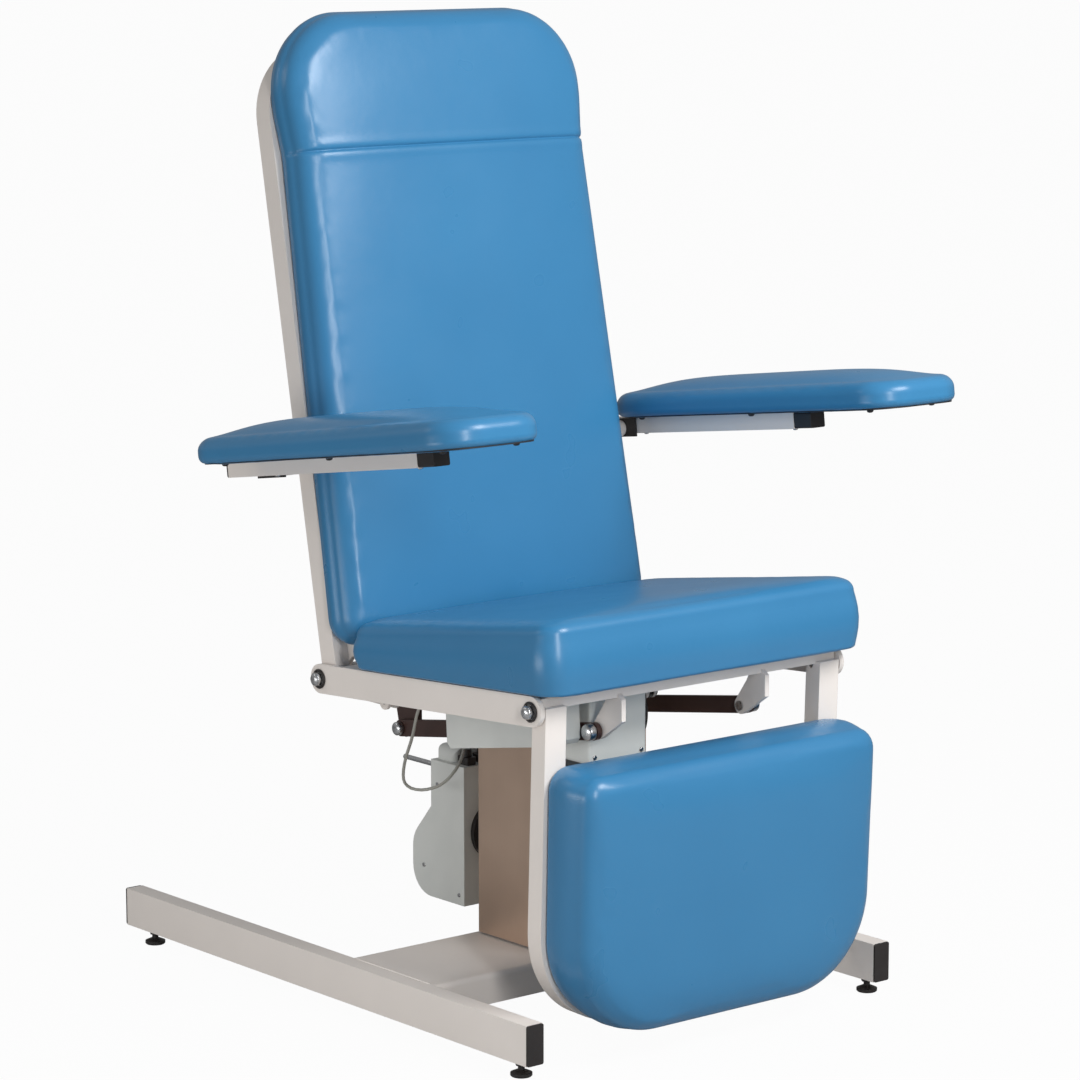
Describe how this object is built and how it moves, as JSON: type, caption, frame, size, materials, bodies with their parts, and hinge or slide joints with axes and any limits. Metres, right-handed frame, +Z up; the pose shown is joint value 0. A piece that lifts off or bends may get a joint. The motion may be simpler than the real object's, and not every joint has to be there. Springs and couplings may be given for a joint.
{
  "type": "phlebotomy chair",
  "caption": "Height adjustable phlebotomy chair: blue seat, reclining back, coupled legrest and two swivelling arm pads on a floor frame with a column.",
  "frame": {"origin": "on the floor under the middle of the chair's bounding box", "axes": "+X to the sitter's left, +Y to the rear, +Z up"},
  "size_m": [1.004, 1.0668, 1.4814],
  "materials": {
    "frame_paint": "satin",
    "black_plastic": "matte",
    "brushed_column": "brushed",
    "bright_steel": "satin",
    "grey_housing": "satin",
    "grey_cable": "matte",
    "plywood": "matte",
    "blue_vinyl": "satin",
    "dark_links": "satin",
    "black_paint": "gloss"
  },
  "bodies": {
    "base": {"runner_left": "frame_paint", "runner_right": "frame_paint", "runner_end_caps": "black_plastic", "cross_beam": "frame_paint", "levelling_feet": "black_plastic", "foot_nuts": "black_plastic", "inner_post": "brushed_column", "upper_glides": "black_plastic", "column_bolts": "bright_steel", "piston": "bright_steel", "piston_socket": "bright_steel"},
    "seat": {"column_sleeve": "brushed_column", "lower_glides": "black_plastic", "column_head": "frame_paint", "actuator_tube": "bright_steel", "motor_housing": "grey_housing", "motor_flange": "black_plastic", "drive_neck": "bright_steel", "motor_cap": "grey_housing", "motor_plugs": "black_plastic", "tie_rod": "bright_steel", "control_box": "grey_housing", "motor_cable": "grey_cable", "cable_glands": "black_plastic", "side_plate_left": "frame_paint", "side_plate_right": "frame_paint", "seat_frame": "frame_paint", "rail_plugs": "black_plastic", "seat_board": "plywood", "seat_cushion": "blue_vinyl", "back_pivot_bolts": "bright_steel", "leg_pivot_bolts": "bright_steel", "seat_pins": "bright_steel"},
    "backrest": {"back_frame": "frame_paint", "back_levers": "dark_links", "back_board": "plywood", "back_cushion": "blue_vinyl", "back_link_pins": "bright_steel", "arm_spigots": "frame_paint", "arm_pivot_bolts": "bright_steel"},
    "legrest": {"leg_frame": "frame_paint", "leg_board": "plywood", "leg_cushion": "blue_vinyl", "leg_link_pins": "bright_steel"},
    "left_link": {"link_left": "dark_links"},
    "right_link": {"link_right": "dark_links"},
    "gas_spring": {"gas_cylinder": "black_paint"},
    "gas_spring_rod": {"gas_rod": "bright_steel"},
    "release": {"release_lever": "frame_paint", "release_grip": "black_plastic"},
    "left_arm": {"arm_rail_left": "frame_paint", "arm_fittings_left": "black_plastic"},
    "right_arm": {"arm_rail_right": "frame_paint", "arm_fittings_right": "black_plastic"},
    "left_pad": {"arm_slider_left": "black_plastic", "arm_board_left": "dark_links", "arm_pad_left": "blue_vinyl"},
    "right_pad": {"arm_slider_right": "black_plastic", "arm_board_right": "dark_links", "arm_pad_right": "blue_vinyl"}
  },
  "joints": [
    {"name": "lift", "type": "slide", "parent": "base", "child": "seat", "axis": [0, 0, 1], "range_m": [0, 0.2]},
    {"name": "recline", "type": "hinge", "parent": "seat", "child": "backrest", "pos_m": [0, 0.0843, 0.488], "axis": [-1, 0, 0], "range_deg": [0, 60]},
    {"name": "legrest_swing", "type": "hinge", "parent": "seat", "child": "legrest", "pos_m": [0, -0.42027, 0.51868], "axis": [-1, 0, 0], "range_deg": [0, 79]},
    {"name": "left_link_pivot", "type": "hinge", "parent": "backrest", "child": "left_link", "pos_m": [0.15, 0.0703, 0.394], "axis": [-1, 0, 0], "range_deg": [-67, 0]},
    {"name": "right_link_pivot", "type": "hinge", "parent": "backrest", "child": "right_link", "pos_m": [-0.15, 0.0703, 0.394], "axis": [-1, 0, 0], "range_deg": [-67, 0]},
    {"name": "gas_spring_tilt", "type": "hinge", "parent": "seat", "child": "gas_spring", "pos_m": [0.112, -0.20461, 0.46049], "axis": [-1, 0, 0], "range_deg": [0, 1]},
    {"name": "gas_spring_stroke", "type": "slide", "parent": "gas_spring", "child": "gas_spring_rod", "axis": [0, 0.9968, -0.0797], "range_m": [-0.0585, 0]},
    {"name": "release_pull", "type": "hinge", "parent": "seat", "child": "release", "pos_m": [-0.27, -0.061, 0.473], "axis": [1, 0, 0], "range_deg": [0, 4], "stiffness_Nm_per_rad": 1},
    {"name": "left_arm_pivot", "type": "hinge", "parent": "backrest", "child": "left_arm", "pos_m": [0.346, 0.1323, 0.81], "axis": [-1, 0, 0], "range_deg": [-65, 75]},
    {"name": "right_arm_pivot", "type": "hinge", "parent": "backrest", "child": "right_arm", "pos_m": [-0.346, 0.1323, 0.81], "axis": [-1, 0, 0], "range_deg": [-65, 75]},
    {"name": "left_pad_slide", "type": "slide", "parent": "left_arm", "child": "left_pad", "axis": [0, -0.9923, 0.1236], "range_m": [0, 0.08]},
    {"name": "right_pad_slide", "type": "slide", "parent": "right_arm", "child": "right_pad", "axis": [0, -0.9895, 0.1444], "range_m": [0, 0.08]}
  ],
  "couplings": [
    {"joint": "legrest_swing", "follows": "recline", "ratio": 1.31},
    {"joint": "left_link_pivot", "follows": "recline", "ratio": -1.104},
    {"joint": "right_link_pivot", "follows": "recline", "ratio": -1.104},
    {"joint": "gas_spring_tilt", "follows": "recline", "ratio": 0.015},
    {"joint": "gas_spring_stroke", "follows": "recline", "m_per_rad": -0.0554}
  ]
}
